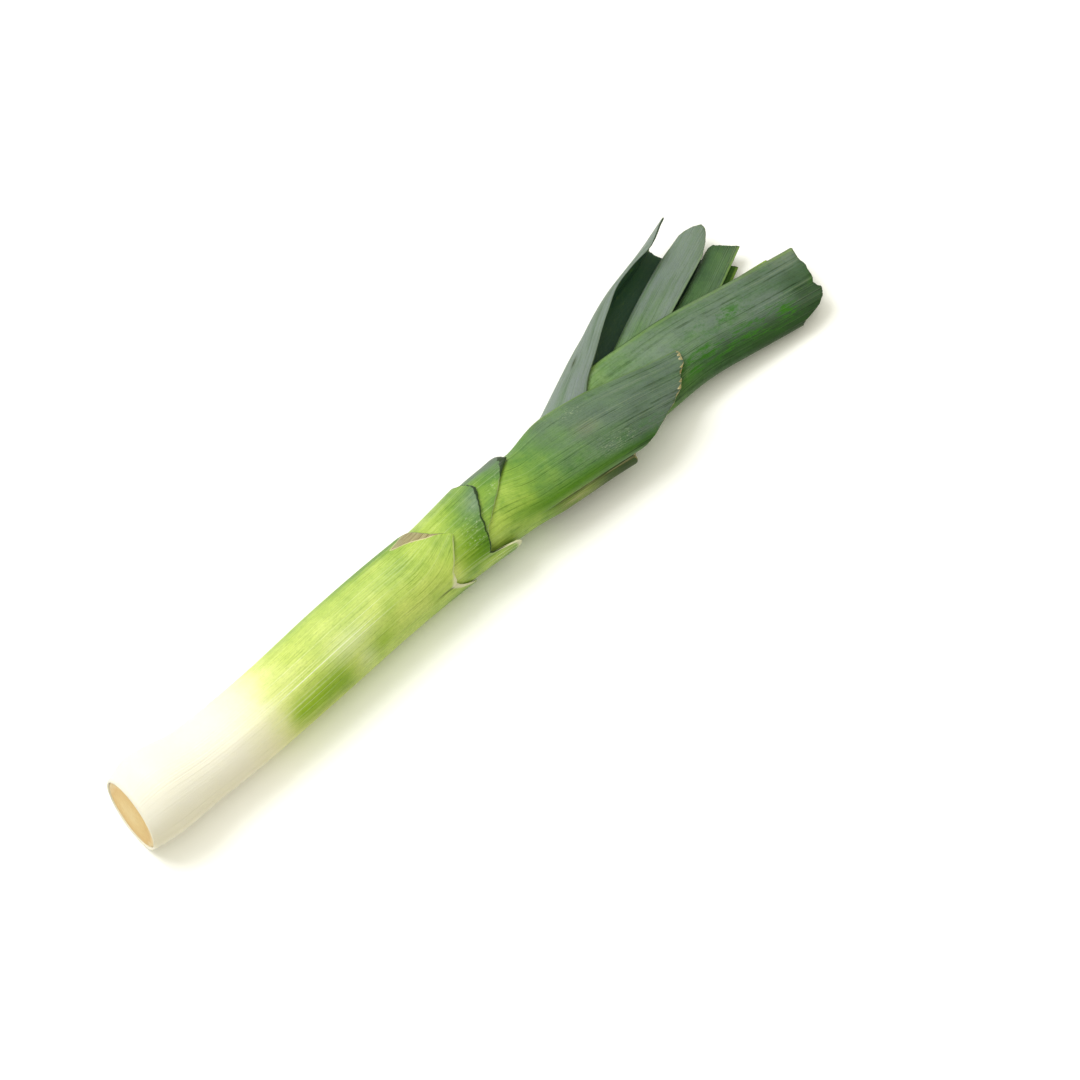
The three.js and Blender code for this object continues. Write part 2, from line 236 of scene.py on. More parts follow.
# ---- the leek's form ----
def shank_radius(x):
    return ramps(x, BUTT_RADIUS, BUTT_SWELL)


def middle_height(x):
    """Height of the middle plane: the lowest strip of the shank lies flat on the table."""
    return shank_radius(x) * np.cos(FLAT_STRIP_HALF_ANGLE) + ramps(x, 0, FAN_DROOP)


def half_width(layer, x):
    return (shank_radius(x) - LAYER_DEPTHS[layer]) * ramps(x, 1, SIDE_SWELL)


def half_height(layer, x):
    """Round in the shank, then ever flatter in the fan."""
    flat = ramp(x, *FAN_FLATTENING)
    fan_height = FAN_LAYER_PITCH * (len(LAYER_DEPTHS) - layer)
    return (shank_radius(x) - LAYER_DEPTHS[layer]) * (1 - flat) + fan_height * flat


def in_frame(x, y, z):
    """Adds the askew root cut, keeps above the table, moves to the frame's origin and turns to metres."""
    askew = ROOT_CUT_SLOPE * y + ROOT_CUT_LEAN * (z - middle_height(x))
    skewed = x + askew * fall(x, 0, ROOT_CUT_FADE)
    return (np.stack([skewed, y, np.maximum(z, 0)], -1) - FRAME_ORIGIN) * METRES


def keel_path(turns, s):
    """Distance forward, outward, and turn of a keel: the sum of unit steps of 1 mm along its heading."""
    heading = np.radians(ramps(np.arange(KEEL_LENGTH) + 0.5, 0, turns))
    forward = np.concatenate([[0], np.cumsum(np.cos(heading))])
    outward = np.concatenate([[0], np.cumsum(np.sin(heading))])
    marks = np.arange(KEEL_LENGTH + 1)
    return np.interp(s, marks, forward), np.interp(s, marks, outward), np.radians(ramps(s, 0, turns))


def leaf_points(leaf, layer, s, angle, depth):
    """Points of a leaf at distance s along its keel and angle round it.

    The section of a closed sheath is an oval, and the angle runs from the keel at 0 to the margins at
    a half turn, upper half positive. Above the throat the margins part along the oval, then each half
    goes flat and as wide as the leaf's blade: a wider blade is let out in its flat part, and a
    narrower one is drawn in most at its margin. The whole section turns with the keel. Depth is 0 on
    the outer face and 1 on the inner one.
    """
    forward, outward, turn = keel_path(leaf.get("turns", []), s)
    upper = angle >= 0
    part = np.abs(angle) / np.pi
    width = half_width(layer, forward)
    thin = ramp(forward, *BLADE_THINNING)
    inset = (leaf["thickness"] + (BLADE_THICKNESS - leaf["thickness"]) * thin) * depth
    if "throat" in leaf:
        fold_from, fold_to, fold_angle = leaf["fold"]
        opened = np.pi + (np.radians(fold_angle) - np.pi) * ramp(s, fold_from, fold_to)
        full = width * (1 - np.cos(opened))
        flatness = ramp(s, *leaf["flatten"])
        section = part * opened
        beyond = np.maximum(0, (section - np.pi / 2) / (opened - np.pi / 2))
        blade = np.where(upper, ramps(s, leaf["widths"][0], leaf.get("taper", [])), leaf["widths"][1])
        extra = (blade - full) * ramp(s, *leaf["widen"])
        drawn_in = ((1 - np.cos(section)) / (1 - np.cos(opened))) ** DRAWN_IN_POWER
        spread = np.where(extra < 0, drawn_in, beyond)
        outer_inward = width * (1 - np.cos(section)) + spread * extra
        inward = inset + outer_inward * (1 - inset * ((1 - flatness) / width + flatness / (full + extra)))
    else:
        flatness = 0
        section = part * np.pi
        inward = inset + (width - inset) * (1 - np.cos(section))
    past = np.maximum(0, section - np.pi / 2)
    rise = np.where(past > 0, np.cos((1 - flatness) * past), np.sin(section))
    height = (half_height(layer, forward + np.sin(turn) * inward) - inset) * rise
    if "lift" in leaf:
        lift_from, lift_to, degrees = leaf["lift"]
        raised = np.radians(degrees) * ramp(s, lift_from, lift_to) * ramp(part, 0, LIFT_FULL_SHARE) * upper
        inward, height = (
            inward * np.cos(raised) - height * np.sin(raised),
            inward * np.sin(raised) + height * np.cos(raised),
        )
    x = forward + np.sin(turn) * inward
    y = ramps(forward, 0, SHANK_BOW) + leaf["side"] * (width + outward - np.cos(turn) * inward)
    z = middle_height(x) + np.where(upper, height, -height)
    return in_frame(x, y, z)


def ragged_end(leaf, layer, degrees):
    """Distance of the cut end at an angle from the keel: the two tables, plus torn teeth.

    The teeth are straight lines between random heights, fine and coarse. They fade out where the
    margins of a closed sheath meet.
    """
    ends = side_table(leaf["near"], leaf["far"], degrees)
    random = np.random.default_rng(40 + layer)
    fine_at = np.linspace(-180, 180, FINE_TEETH + 1)
    coarse_at = fine_at[::FINE_TO_COARSE_TEETH]
    fine = np.interp(degrees, fine_at, random.uniform(-1, 1, fine_at.size))
    coarse = np.interp(degrees, coarse_at, random.uniform(-1, 1, coarse_at.size))
    meeting = 1 if "throat" in leaf else 1 - bump(np.abs(degrees), 180, 4)
    fine_height, coarse_height = leaf["teeth"]
    return ends + meeting * (fine_height * fine + coarse_height * coarse)


def flare(leaf, s, degrees, left):
    """How far a leaf's skin stands out from its plain oval, mm: loosened cut ends and soft ridges."""
    name = leaf["name"]
    if name == "leaf_1":
        ridge = 0.45 * bump(degrees, 124, 9) * band(s, 36, 60, 120, 160)
        return ridge + 0.55 * fall(left, 0, 7) * bump(degrees, 130, 45)
    if name == "leaf_2":
        return 0.9 * fall(left, 0, 8) * bump(degrees, 70, 60)
    if name == "leaf_3":
        return 0.6 * fall(left, 0, 7) * bump(degrees, 70, 50)
    if name == "leaf_4":
        folded = ramp(s, 222, 240) * (degrees > -60)
        ridges = 0.8 * bump(degrees, 33, 13) - 0.9 * bump(degrees, 17, 4) + 2.2 * bump(degrees, -8, 16)
        return folded * ridges
    return np.zeros_like(s)


# ---- marks on the skin ----
# What colours a leaf, point by point. Each goes into the mesh as an attribute:
#   tint     the place on the scale from white to dark green
#   deep     fresh bright green
#   bloom    grey wax
#   rub      where the wax is rubbed off
#   lines    veins that stand out; on leaf_1 partly a painted highlight along the ridge
#   milk     thin milky skin; on leaf_1's ridge partly a painted highlight
#   scuff    pale crumbs of skin
#   bruise_and_shadow   dark bruises, and painted shadow in the crease of leaf_4
#   dry      brown tissue
#   dull     painted shade on the underside of the outermost sheath
#   rim      the light line along the margins
#   dark_mm, dry_mm, pale_mm    widths of dark, dry and bleached tissue along the cut end; the dark band also paints shadow inside leaf_3's fold
#   cut_mm, rim_mm              distances to the cut end and to a free margin
#   inside   0 on the outer face and 1 on the inner one
# A leaf's own rules may also give
#   tint_at      the distance at which its tint is read
#   tint_more    what is added to it
#   bloom_more, bloom_less      wax that is added or missing; missing wax also paints shade on leaf_6 and leaf_9
PLAIN_MARKS = ("deep", "rub", "lines", "milk", "scuff", "bruise_and_shadow", "dry", "dull", "dry_mm", "pale_mm")
WAXY_TINTS = (0.62, 0.84)


def blot(s, at, reach, degrees, angle, spread):
    """A soft blot of height 1, at one distance and angle."""
    return bump(s, at, reach) * bump(degrees, angle, spread)


def leaf_1_marks(s, degrees, left):
    """Green patches, a milky skin and light veins that are partly a painted highlight along the ridge,
    painted shade on the underside, a dry scar and a pale membrane.
    """
    round_it = degrees % 360
    under = np.abs(degrees)
    upper_edge = fall(round_it, 30, 66) * ramp(round_it, 0, 5)
    patch = band(s, 72, 84, 105, 117) * bump(round_it, 156, 25)
    small_patch = 0.6 * blot(s, 131, 7, round_it, 156, 12)
    # partly painted highlight: the pale blot at 123 degrees sits on the ridge's highlight streak
    pale = np.maximum(blot(s, 117, 13, round_it, 123, 18), 0.7 * blot(s, 121, 5, round_it, 156, 24))
    scar = [(36, 0), (42, 5), (52, 14), (58, 12.3), (66, 7.5), (78, 4.2), (88, 1.2), (94, 0)]
    membrane = [(100, 0), (108, 0.9), (143, 1.3), (152, 2.2), (162, 4.0), (180, 2.4)]
    return dict(
        deep=np.maximum(np.maximum(patch, small_patch), 0.85 * upper_edge * ramp(s, 95, 135)),
        # partly painted highlight: light veins brought out along the ridge
        lines=band(s, 50, 70, 128, 150) * bump(degrees, 118, 26),
        milk=0.65 * pale + 0.13 * bump(round_it, 84, 36) * band(s, 90, 115, 150, 170),
        bruise_and_shadow=0.8 * band(s, 160, 168, 175, 177) * bump(degrees, 163.5, 1.8),
        # painted shade: a greyer, darker underside near the root
        dull=ramp(under, 130, 185) * fall(s, 105, 125),
        dry_mm=side_table(scar, [(0, 0), (180, 0)], degrees),
        pale_mm=side_table(membrane, [(150, 0), (180, 2.4)], degrees),
        dark_mm=side_table([(90, 0.5), (100, 0)], [(0, 0.4), (180, 0)], degrees),
        tint_more=(
            upper_edge * (0.16 * ramp(s, 75, 150) + 0.06 * bump(s, 98, 14) + 0.05 * bump(s, 174, 10))
            + 0.04 * patch
            - 0.04 * bump(round_it, 137, 16) * ramp(s, 132, 146)
            + 0.06 * blot(s, 152, 11, round_it, 88, 20)
            + 0.05 * blot(s, 92, 9, round_it, 60, 22)
            # painted shade: these two terms deepen the tint along the lower side near the waist
            + 0.06 * ramp(under, 165, 185) * band(s, 70, 90, 110, 125)
            + 0.14 * bump(round_it, 200, 10) * ramp(s, 155, 170)
        ),
    )


def leaf_2_marks(s, degrees, left):
    """A bright band below the cut, a waxy and scuffed flap, and a bleached tip at the keel."""
    dark = [(12, 0), (20, 0.9), (88, 0.9), (100, 1.4), (125, 1.0)]
    return dict(
        deep=ramp(s, 176, 190) * bump(degrees, 38, 28) * (1 - 0.5 * ramp(s, 198, 204)),
        lines=0.5 * bump(degrees, 0, 16) * ramp(s, 185, 200),
        scuff=bump(left, 6, 6) * (bump(degrees, 74, 13) + bump(degrees, 50, 8)),
        pale_mm=side_table([(0, 3.0), (14, 2.4), (20, 0)], [(0, 3.0), (30, 0.6)], degrees),
        dark_mm=side_table(dark, [(0, 0), (40, 0.5)], degrees),
        bloom_more=0.4 * bump(degrees, 92, 26) * ramp(s, 190, 204),
        tint_more=(
            0.08 * bump(degrees, 70, 30) * ramp(s, 186, 203)
            - 0.17 * bump(degrees, 3, 14) * ramp(s, 184, 198)
            - 0.06 * ramp(degrees, 110, 130) * ramp(s, 176, 188)
            + 0.05 * ramp(degrees, 100, 130) * bump(s, 170, 9)
            - 0.2 * blot(s, 171, 9, degrees, 36, 24)
        ),
    )


def leaf_3_marks(s, degrees, left):
    """A scuffed corner with a wide dark band of painted shadow inside the fold, and a thin pale edge along
    the rest of the cut.
    """
    # painted shadow: the wide dark band stands for the shade inside the fold
    dark = [(38, 0.6), (46, 2.2), (52, 4.2), (58, 4.2), (72, 1.2), (80, 0)]
    return dict(
        scuff=bump(left, 4, 3) * bump(degrees, 82, 12),
        dark_mm=side_table(dark, [(0, 0.4)] * 2, degrees),
        pale_mm=side_table([(76, 0), (82, 0.6), (130, 0.5)], [(0, 0)] * 2, degrees),
        tint_more=-0.06 * bump(degrees, 78, 30) + 0.14 * fall(degrees, 30, 60) + 0.06 * ramp(s, 216, 228),
    )


def leaf_4_marks(s, degrees, left):
    """Green that reaches further along the upper edge, painted shadow in the crease below the ridge,
    painted shade that deepens the tint towards the keel, and a dry, torn cut end.
    """
    below = fall(degrees, 13, 18) * ramp(s, 222, 240)
    tan = blot(s, 247, 12, degrees, 6, 14)
    torn = np.random.default_rng(11).uniform(0, 1, 91)
    torn_width = np.interp(degrees, np.linspace(0, 180, 91), torn**2)
    torn_limit = [(0, 2.0), (24, 1.6), (60, 1.0), (95, 3.2), (180, 3.4)]
    # painted shade: the tint deepens towards the keel, turned from the lamps, and lightens near the margin
    across = [(0, 0.1), (40, 0.14), (62, 0.12), (90, 0.06), (130, 0.0), (165, -0.07)]
    return dict(
        deep=0.9 * bump(degrees, 38, 14) * band(s, 212, 232, 292, 312),
        rub=0.5 * bump(degrees, 62, 22) * ramp(s, 225, 250),
        scuff=blot(s, 276, 9, degrees, 66, 13) + 0.8 * blot(s, 267, 5, degrees, 155, 8),
        bruise_and_shadow=(
            # painted shadow in the crease below the ridge
            0.75 * bump(degrees, 17, 2.0) * ramp(s, 226, 240)
            + 0.85 * below * ramp(s, 226, 244) * (1 - 0.9 * tan)
        ),
        dry=(
            0.9 * tan
            + 0.3 * blot(s, 267, 6, degrees, 116, 14)
            + 0.8 * bump(degrees, 13.5, 1.4) * ramp(s, 255, 268)
        ),
        dry_mm=torn_width * side_table(torn_limit, [(0, 1.5)] * 2, degrees),
        dark_mm=np.zeros_like(s),
        bloom_less=below,
        tint_at=s - 0.45 * (129 - np.clip(degrees, 20, 180)),
        tint_more=table(across, degrees) * ramp(s, 205, 235),
    )


def leaf_5_marks(s, degrees, left):
    """A dark nick on the ridge and a dark free margin."""
    nick = 0.9 * blot(s, 294.5, 3.4, degrees, 78, 7)
    return dict(bruise_and_shadow=nick + 0.8 * ramp(degrees, 169, 178) * (1 - 0.6 * ramp(s, 294, 312)))


def leaf_6_marks(s, degrees, left):
    """Wax rubbed off in patches, and a lower side painted darker and greener with its wax taken away:
    partly its own deep green, partly painted shade.
    """
    # painted shade, partly the leaf's own deeper green: the lower side and the keel side lose wax and
    # darken
    low = fall(degrees, 55, 115) * fall(s, 382, 402)
    shaded_side = fall(degrees, 70, 150)
    return dict(
        deep=0.25 * low + 0.9 * bump(left, 0.5, 2.5) * bump(degrees, 141, 6),
        rub=(
            0.2
            + 1.5 * bump(degrees, 96, 32) * band(s, 318, 335, 392, 404)
            + 0.9 * blot(s, 364, 14, degrees, 153, 7)
        ),
        bloom_more=0.2 * fall(s, 325, 345) * ramp(degrees, 120, 150),
        bloom_less=np.maximum(shaded_side, 0.8 * ramp(s, 390, 406) * fall(degrees, 150, 175)),
        tint_at=s - 20 * ramp(degrees, 110, 172),
        tint_more=0.08 * shaded_side * ramp(s, 330, 360) + 0.06 * ramp(s, 395, 415) * fall(degrees, 130, 165),
    )


def leaf_7_marks(s, degrees, left):
    """Greener along its middle, low down."""
    return dict(deep=0.3 * bump(degrees, 100, 18) * fall(s, 335, 390))


def leaf_8_marks(s, degrees, left):
    """Fresh green on the lower half and along the upper margin."""
    return dict(deep=1.0 * (degrees < -60) + ramp(degrees, 160, 172))


def leaf_9_marks(s, degrees, left):
    """Fresh green on the lower half, darker at the end, and painted shadow from leaf_7 near the keel:
    little wax and a deeper tint there.
    """
    return dict(
        deep=0.2 * bump(degrees, 120, 40) + 1.0 * (degrees < -60),
        # painted shadow from leaf_7: little wax and a deeper tint near the keel
        bloom_less=0.8 * fall(degrees, 80, 150),
        tint_more=0.03 * fall(degrees, 75, 140) + 0.09 * ramp(s, 396, 408) - 0.06,
    )


LEAF_MARKS = [
    leaf_1_marks, leaf_2_marks, leaf_3_marks, leaf_4_marks, leaf_5_marks, leaf_6_marks, leaf_7_marks,
    leaf_8_marks, leaf_9_marks,
]


def leaf_marks(leaf, layer, s, degrees, left):
    """All marks of a leaf at distances s and angles; `left` is the distance to the cut end."""
    zero = np.zeros_like(s)
    marks = dict.fromkeys(PLAIN_MARKS, zero)
    marks.update(rim=zero + leaf.get("rim", 0.2), dark_mm=zero + 0.5)
    marks.update(tint_at=s, tint_more=zero, bloom_more=zero, bloom_less=zero)
    marks.update(LEAF_MARKS[layer](s, degrees, left))
    marks["tint"] = table(leaf["tint"], marks.pop("tint_at")) + marks.pop("tint_more")
    wax = leaf.get("bloom", 0.15) * ramp(marks["tint"], *WAXY_TINTS) + marks.pop("bloom_more")
    marks["bloom"] = wax * (1 - marks["deep"]) * (1 - marks.pop("bloom_less"))
    return marks


# ---- meshes ----
def mesh_object(name, points, quads, attributes, uv):
    """A smooth mesh from arrays of points, quads, point attributes and a UV pair a point."""
    used, quads = np.unique(quads, return_inverse=True)
    quads = quads.reshape(-1, 4)
    mesh = bpy.data.meshes.new(name)
    mesh.from_pydata(points[used], [], quads)
    mesh.polygons.foreach_set("use_smooth", np.ones(len(quads), bool))
    for key, values in attributes.items():
        attribute = mesh.attributes.new(key, "FLOAT", "POINT")
        attribute.data.foreach_set("value", values[used].astype(np.float32))
    uv_map = mesh.uv_layers.new(name="leaf")
    uv_map.data.foreach_set("uv", uv[used][quads.ravel()].astype(np.float32).ravel())
    mesh.validate()
    obj = bpy.data.objects.new(name, mesh)
    bpy.context.scene.collection.objects.link(obj)
    return obj


def leaf_rows(leaf, layer):
    """Distances of the rows that run all the way round: close in view and at the foot."""
    foot = 0.0 if layer == 0 else LEAF_FOOT
    first_shown = max(leaf["shows"], FOOT_ROWS_END)
    rows = [even_rows(foot, FOOT_ROWS_END, FOOT_ROW)]
    if first_shown > FOOT_ROWS_END:
        rows.append(even_rows(FOOT_ROWS_END, first_shown, HIDDEN_ROW)[1:])
    rows.append(even_rows(first_shown, leaf["last_full"], SHOWN_ROW)[1:])
    return np.concatenate(rows)


def leaf_columns(leaf):
    """Shares of a half turn at which the columns stand, closer at the margins and where finer."""
    half = np.concatenate([np.linspace(0, 1, HALF_TURN_COLUMNS + 1)[:-1], [MARGIN_COLUMN_SHARE, 1.0]])
    finer = np.arange(*leaf.get("finer", (0, 0)), FINER_COLUMN_DEGREES) / 180
    return np.unique(np.concatenate([-half[::-1], half[1:], finer]))


def shell_quads(side, rows, columns, throat_row, is_open):
    """Quads of a leaf's shell: both faces, the foot, the cut end and, above the throat, both margins.

    The points come in the order of the outer grid, the inner grid, the middle line of the cut end,
    and the middle lines of the two margins. Below the throat the two margins are one.
    """
    size = rows * columns
    out = np.arange(size).reshape(rows, columns)
    out[: throat_row + 1, -1] = out[: throat_row + 1, 0]
    inn = out + size
    end = 2 * size + np.arange(columns)
    if not is_open:
        end[-1] = end[0]
    edge = 2 * size + columns + np.arange(2 * rows).reshape(rows, 2)
    edge[: throat_row + 1, 1] = edge[: throat_row + 1, 0]
    edge[-1] = end[[0, -1]]

    def quads(*corners):
        stacked = np.stack(corners, -1).reshape(-1, 4)
        return stacked if side < 0 else stacked[:, ::-1]

    faces = [
        quads(out[:-1, :-1], out[1:, :-1], out[1:, 1:], out[:-1, 1:]),
        quads(inn[:-1, 1:], inn[1:, 1:], inn[1:, :-1], inn[:-1, :-1]),
        quads(out[0, 1:], inn[0, 1:], inn[0, :-1], out[0, :-1]),
        quads(out[-1, :-1], end[:-1], end[1:], out[-1, 1:]),
        quads(end[:-1], inn[-1, :-1], inn[-1, 1:], end[1:]),
    ]
    if is_open:
        t = throat_row
        faces += [
            quads(out[t:-1, 0], edge[t:-1, 0], edge[t + 1 :, 0], out[t + 1 :, 0]),
            quads(edge[t:-1, 0], inn[t:-1, 0], inn[t + 1 :, 0], edge[t + 1 :, 0]),
            quads(out[t + 1 :, -1], edge[t + 1 :, 1], edge[t:-1, 1], out[t:-1, -1]),
            quads(edge[t + 1 :, 1], inn[t + 1 :, -1], inn[t:-1, -1], edge[t:-1, 1]),
        ]
    return np.concatenate(faces)


def across_leaf(leaf, s, degrees):
    """The pattern's coordinate across a leaf, mm. The outermost sheath's veins bend near its end."""
    across = degrees / 180 * HALF_TURN_ACROSS
    if leaf["name"] == "leaf_1":
        across = across + 0.0107 * np.maximum(0, s - 155) ** 2 * bump(degrees, 115, 40)
    return across


def fine_leaf(leaf, layer):
    """One leaf as a closed shell: an outer and an inner grid, rounded over at margins and cut end.

    The grid is leaf_points over rows of even distance and columns of even angle, where the rows
    after last_full draw together to follow the ragged end. The skin is raised by flare.
    """
    is_open = "throat" in leaf
    full_rows = leaf_rows(leaf, layer)
    part = leaf_columns(leaf)
    angle, degrees = part * np.pi, part * 180
    ends = ragged_end(leaf, layer, degrees)
    cut_steps = int(round((ends.max() - leaf["last_full"]) / SHOWN_ROW))
    share = np.linspace(0, 1, cut_steps + 1)[1:, None]
    cut_rows = leaf["last_full"] + (ends - LAST_ROW_BEFORE_END - leaf["last_full"]) * share
    s = np.vstack([np.repeat(full_rows[:, None], part.size, 1), cut_rows, ends[None]])
    rows, columns = s.shape
    throat_row = int(np.searchsorted(full_rows, leaf["throat"])) if is_open else rows - 1
    grid_degrees = np.repeat(degrees[None], rows, 0)
    grid_angle = np.repeat(angle[None], rows, 0)

    # how far the skin draws in, as a share of the wall
    rounding = np.zeros_like(s)
    rounding[-1] = CUT_ROUNDING_SHARE
    to_margin = np.full_like(s, EDGE_REACH)
    if is_open:
        # free margins thin out over their last millimetres
        opening = ramp(s, leaf["throat"], leaf["throat"] + MARGINS_FREE_AFTER)
        to_margin = (1 - np.abs(grid_degrees) / 180) * np.where(grid_degrees >= 0, *leaf["widths"])
        to_margin = to_margin + EDGE_REACH * (opening == 0)
        thinned = MARGIN_ROUNDING_SHARE * opening * fall(to_margin, 0, MARGIN_ROUNDING_REACH)
        rounding = np.maximum(rounding, thinned)
    left = np.clip(ends - s, 0, None)
    lifted = flare(leaf, s, grid_degrees, left) / leaf["thickness"]

    # the middle line of the wall at the cut end and along both margins, pushed out a little
    margins = np.array([-np.pi, np.pi]) * (1 + MARGIN_LINE_OUT_SHARE * is_open) * np.ones((rows, 1))
    grids = (
        leaf_points(leaf, layer, s, grid_angle, rounding - lifted),
        leaf_points(leaf, layer, s, grid_angle, 1 - rounding - lifted),
        leaf_points(leaf, layer, ends + CUT_LINE_OUT, angle, 0.5 - lifted[-1]),
        leaf_points(leaf, layer, s[:, [0, -1]], margins, np.full_like(margins, 0.5)),
    )
    points = np.concatenate([grid.reshape(-1, 3) for grid in grids])

    marks = leaf_marks(leaf, layer, s, grid_degrees, left)
    marks["cut_mm"] = np.minimum(left, EDGE_REACH)
    marks["rim_mm"] = np.minimum(to_margin, EDGE_REACH)
    attributes = {
        key: np.concatenate([values.ravel(), values.ravel(), values[-1], values[:, [0, -1]].ravel()])
        for key, values in marks.items()
    }
    attributes["inside"] = np.repeat([0, 1, 0.5], [s.size, s.size, columns + 2 * rows])

    uv_grid = np.stack([across_leaf(leaf, s, grid_degrees), s], -1)
    uv = np.concatenate([uv_grid.reshape(-1, 2)] * 2 + [uv_grid[-1], uv_grid[:, [0, -1]].reshape(-1, 2)])
    faces = shell_quads(leaf["side"], rows, columns, throat_row, is_open)
    return mesh_object("fine_" + leaf["name"], points, faces, attributes, uv)


def tube_object(name, rings, attributes, uv):
    """Rings of points, the first and last of them small, joined into a closed skin."""
    rows, columns = rings.shape[:2]
    index = np.arange(rows * columns).reshape(rows, columns)
    following = np.roll(index, -1, 1)
    quads = np.stack([index[:-1], following[:-1], following[1:], index[1:]], -1).reshape(-1, 4)
    flat = {key: values.ravel() for key, values in attributes.items()}
    return mesh_object(name, rings.reshape(-1, 3), quads, flat, uv.reshape(-1, 2))


def basal_plate():
    """The stem disc: a profile of (radius share, distance x) carried round the leek's axis.

    The cut face is domed by 0.25 mm and roughened by up to 0.12 mm, by the mean of 12 random waves.
    """
    front, back = PLATE_FACES
    profile = np.concatenate([
        np.stack([np.linspace(0.0, 0.97, 40), np.full(40, front)], -1),
        [[0.99, front + 0.12], [1.0, front + 0.4], [1.0, back], [0.0, back]],
    ])
    share = profile[:, :1]
    x = profile[:, 1:]
    turn = np.linspace(0, 2 * np.pi, 97)[:-1][None]
    face = (x < front + 0.2) & (share < 0.98)
    random = np.random.default_rng(7)
    wave = sum(
        np.sin(share * random.uniform(18, 50) + turn * random.integers(2, 16) + random.uniform(0, 6))
        for _ in range(12)
    ) / 12
    x = x + face * (0.12 * wave - 0.25 * (1 - share**2) - 0.1)
    y = ramps(x, 0, SHANK_BOW) + half_width(1, x) * share * np.cos(turn)
    z = middle_height(x) + half_height(1, x) * share * np.sin(turn)
    rings = in_frame(x * np.ones_like(turn), y, z)
    uv = np.stack([share * np.cos(turn), share * np.sin(turn)], -1)
    return tube_object("fine_basal_plate", rings, dict(share=share * np.ones_like(turn)), uv)


def heart_leaf():
    """The rolled youngest leaf: an oval of the innermost layer, which tapers like an ellipse's end."""
    layer = len(LAYER_DEPTHS) - 1
    rows = [even_rows(LEAF_FOOT, 280, 8), even_rows(282, 365, 2), np.linspace(366, HEART_TIP, 8)]
    s = np.concatenate(rows)[:, None]
    taper_from, taper_length = HEART_TAPER
    taper = np.sqrt(np.maximum(0.0004, 1 - (np.maximum(0, s - taper_from) / taper_length) ** 2))
    closed = np.ones_like(s)
    closed[0] = closed[-1] = 0.002
    turn = np.linspace(0, 2 * np.pi, 49)[:-1][None]
    around = np.ones_like(turn)
    y = ramps(s, 0, SHANK_BOW) + ramps(s, 0, HEART_BEND)
    y = y + half_width(layer, s) * taper * closed * np.cos(turn)
    height = np.maximum(0.6, half_height(layer, s) * taper) * closed
    z = middle_height(s) + height * np.sin(turn)
    rings = in_frame(s * around, y, z)
    uv = np.stack([turn / (2 * np.pi) * 40 * np.ones_like(s), s * around], -1)
    tint = table([(5, 0.1), (200, 0.35), (300, 0.5), (372, 0.62)], s) * around
    none, far = np.zeros_like(tint), np.full_like(tint, EDGE_REACH)
    attributes = dict.fromkeys(PLAIN_MARKS + ("bloom", "rim", "dark_mm", "inside"), none)
    attributes.update(tint=tint, cut_mm=far, rim_mm=far)
    return tube_object("fine_heart_leaf", rings, attributes, uv)


# ---- materials ----
LEEK_GREENS = [
    (0.00, "F6F2E2"), (0.12, "F5F2CE"), (0.28, "E2EA96"), (0.40, "C9DA70"), (0.50, "AFC85A"),
    (0.60, "86A840"), (0.72, "5F8A38"), (0.82, "496C3A"), (0.92, "355432"), (1.00, "264222"),
]
FRESH_GREENS = [(0.40, "98BE10"), (0.64, "56840C"), (0.90, "2F5A12")]
STEM_TANS = [(0.0, "EFD9A2"), (0.55, "E9CD8E"), (0.85, "E3C283"), (1.0, "EBD9AE")]
WAX = ("7D8D80", "838D8E")
RUBBED_GREEN = "2E680A"
LIGHT_VEIN_AND_HIGHLIGHT = "EEF4D0"
DARK_VEIN = "76945A"
FINE_LINE = "8CA864"
MOTTLE = "9AB07C"
MILKY_SKIN_AND_HIGHLIGHT = "E6EDC6"
SKIN_CRUMB = "C6D2AC"
BRUISE_AND_SHADOW = "2A3A12"
INNER_FACE = "1D4630"
MARGIN = "84A83A"
DRY_TISSUE = ("74683C", "B8B088")
DRY_LIP = "DCD2A8"
BLEACHED = "E2DDC0"
DARK_EDGE = "1C3010"
UNDERSIDE_SHADE = "D8CFB4"
STEM_FIBRE = "C79F5E"
BOARD = "FAFAFA"


def linear(hex_colour):
    """sRGB hex to linear RGBA."""
    code = np.array([int(hex_colour[i : i + 2], 16) for i in (0, 2, 4)]) / 255
    flat = np.where(code <= 0.04045, code / 12.92, ((code + 0.055) / 1.055) ** 2.4)
    return (*flat, 1.0)


